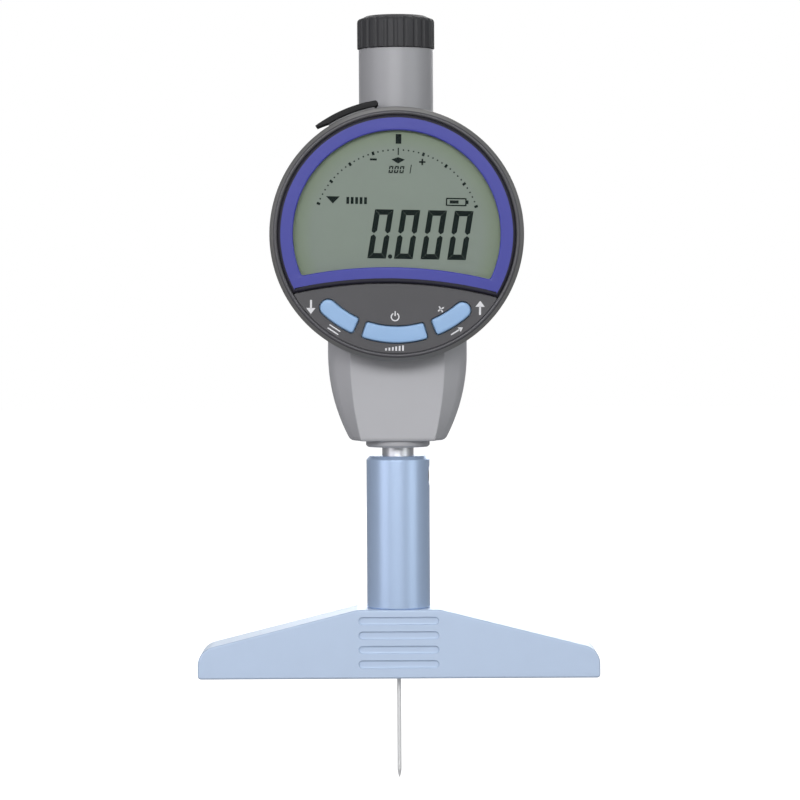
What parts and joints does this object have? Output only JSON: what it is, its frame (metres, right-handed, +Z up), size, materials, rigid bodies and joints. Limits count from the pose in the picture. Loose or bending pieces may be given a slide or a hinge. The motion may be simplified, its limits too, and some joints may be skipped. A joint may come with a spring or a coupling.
{
  "type": "digital depth gauge",
  "caption": "Digital depth gauge: round electronic indicator with a turning display head and a sprung needle plunger, clamped by its stem in a sleeve on a flat base bar.",
  "frame": {"origin": "centre of the base bar's underside, which is the measuring plane, on the spindle's axis", "axes": "+Z up along the spindle, away from the work; the display faces -Y; +X is to the right of the display"},
  "size_m": [0.1016, 0.0321, 0.1933],
  "materials": {
    "base_steel": "matt chromed, fine ground",
    "sleeve_steel": "satin chromed",
    "brass": "turned",
    "black_steel": "black oxide",
    "case_aluminium": "satin grey",
    "tube_aluminium": "satin grey",
    "bright_steel": "ground and polished",
    "screw_steel": "zinc plated",
    "bronze": "sintered",
    "black_rubber": "moulded",
    "black_plastic": "moulded",
    "gold_contact": "gold plated",
    "cell_steel": "nickel plated",
    "lead_red": "sleeved wire",
    "board_green": "solder mask",
    "chip_black": "moulded",
    "film_orange": "polyimide film",
    "white_nylon": "moulded",
    "cap_plastic": "moulded, satin",
    "glass_scale": "chromed glass",
    "head_plastic": "moulded",
    "bezel_grey": "moulded, satin",
    "panel_grey": "fine textured",
    "frame_blue": "moulded, satin",
    "lens_glass": "polished",
    "lcd_grey": "reflective liquid crystal",
    "rubber_pink": "striped elastomer",
    "switch_cream": "metal dome under film",
    "button_blue": "moulded silicone",
    "socket_grey": "moulded"
  },
  "bodies": {
    "depth_base": {"base_bar": "base_steel", "holder_sleeve": "sleeve_steel"},
    "clamp_pad": {"clamp_pad": "brass"},
    "clamp_screw": {"clamp_screw": "black_steel"},
    "indicator": {"case_body": "case_aluminium", "stem": "bright_steel", "spindle_bushes": "bronze", "guard_tube": "tube_aluminium", "back_cover": "case_aluminium", "back_cover_screws": "screw_steel", "back_gasket": "black_rubber", "battery_tray": "black_plastic", "battery_contacts": "gold_contact", "coin_cell": "cell_steel", "battery_leads": "lead_red", "guide_rail": "brass", "return_spring": "bright_steel", "spring_post": "bright_steel", "stop_bumper": "black_rubber", "sensor_board": "board_green", "sensor_chip": "chip_black", "sensor_screws": "screw_steel", "head_retaining_ring": "bright_steel", "head_friction_washer": "white_nylon", "flex_cable": "film_orange"},
    "battery_door_seal": {"battery_door_seal": "black_rubber"},
    "battery_door": {"battery_door": "case_aluminium"},
    "cap_seal": {"cap_seal": "black_rubber"},
    "guard_cap": {"guard_cap": "cap_plastic"},
    "plunger": {"spindle": "bright_steel", "needle_holder": "bright_steel", "needle": "bright_steel", "scale_bracket": "case_aluminium", "glass_scale": "glass_scale", "guide_pin": "bright_steel"},
    "display_head": {"head_shell": "head_plastic", "head_stop_pin": "bright_steel", "bezel_ring": "bezel_grey", "button_panel": "panel_grey", "window_frame": "frame_blue", "window_lens": "lens_glass", "lcd_glass": "lcd_grey", "lcd_holder": "white_nylon", "lcd_connector": "rubber_pink", "main_board": "board_green", "board_chips": "chip_black", "board_screws": "screw_steel", "button_switches": "switch_cream", "data_socket": "socket_grey", "socket_contacts": "gold_contact"},
    "port_cover": {"port_cover": "black_rubber"},
    "left_button": {"left_button": "button_blue"},
    "middle_button": {"middle_button": "button_blue"},
    "right_button": {"right_button": "button_blue"}
  },
  "joints": [
    {"name": "indicator_height", "type": "slide", "parent": "depth_base", "child": "indicator", "axis": [0, 0, 1], "range_m": [-0.0022, 0.008]},
    {"name": "clamp_pad_slide", "type": "slide", "parent": "depth_base", "child": "clamp_pad", "axis": [1, 0, 0], "range_m": [0, 0.00105]},
    {"name": "clamp_screw_turn", "type": "hinge", "parent": "clamp_pad", "child": "clamp_screw", "pos_m": [0.006, 0, 0.051], "axis": [1, 0, 0], "range_deg": [0, 540]},
    {"name": "plunger_slide", "type": "slide", "parent": "indicator", "child": "plunger", "axis": [0, 0, 1], "range_m": [0, 0.0265], "stiffness_N_per_m": 37, "springref_m": -0.027, "deforming": ["return_spring"]},
    {"name": "head_turn", "type": "hinge", "parent": "indicator", "child": "display_head", "pos_m": [0, -0.0148, 0.1118], "axis": [0, 1, 0], "range_deg": [-165, 165]},
    {"name": "cap_lift", "type": "slide", "parent": "indicator", "child": "cap_seal", "axis": [0, 0, 1], "range_m": [0, 0.0045]},
    {"name": "cap_turn", "type": "hinge", "parent": "cap_seal", "child": "guard_cap", "pos_m": [0, 0, 0.163], "axis": [0, 0, 1], "range_deg": [0, 2160]},
    {"name": "battery_door_lift", "type": "slide", "parent": "indicator", "child": "battery_door_seal", "axis": [0, 1, 0], "range_m": [0, 0.0015]},
    {"name": "battery_door_turn", "type": "hinge", "parent": "battery_door_seal", "child": "battery_door", "pos_m": [0, 0.01, 0.1118], "axis": [0, 1, 0], "range_deg": [0, 720]},
    {"name": "left_button_press", "type": "slide", "parent": "display_head", "child": "left_button", "axis": [0, 1, 0], "range_m": [0, 0.0005], "stiffness_N_per_m": 1500, "springref_m": -0.0003},
    {"name": "middle_button_press", "type": "slide", "parent": "display_head", "child": "middle_button", "axis": [0, 1, 0], "range_m": [0, 0.0005], "stiffness_N_per_m": 1500, "springref_m": -0.0003},
    {"name": "right_button_press", "type": "slide", "parent": "display_head", "child": "right_button", "axis": [0, 1, 0], "range_m": [0, 0.0005], "stiffness_N_per_m": 1500, "springref_m": -0.0003},
    {"name": "port_cover_lift", "type": "hinge", "parent": "display_head", "child": "port_cover", "pos_m": [-0.0052, -0.0146, 0.14424], "axis": [0, 1, 0], "range_deg": [0, 100]}
  ],
  "couplings": [
    {"joint": "clamp_screw_turn", "follows": "clamp_pad_slide", "rad_per_m": 8975},
    {"joint": "cap_turn", "follows": "cap_lift", "rad_per_m": 8377},
    {"joint": "battery_door_turn", "follows": "battery_door_lift", "rad_per_m": 8377}
  ]
}
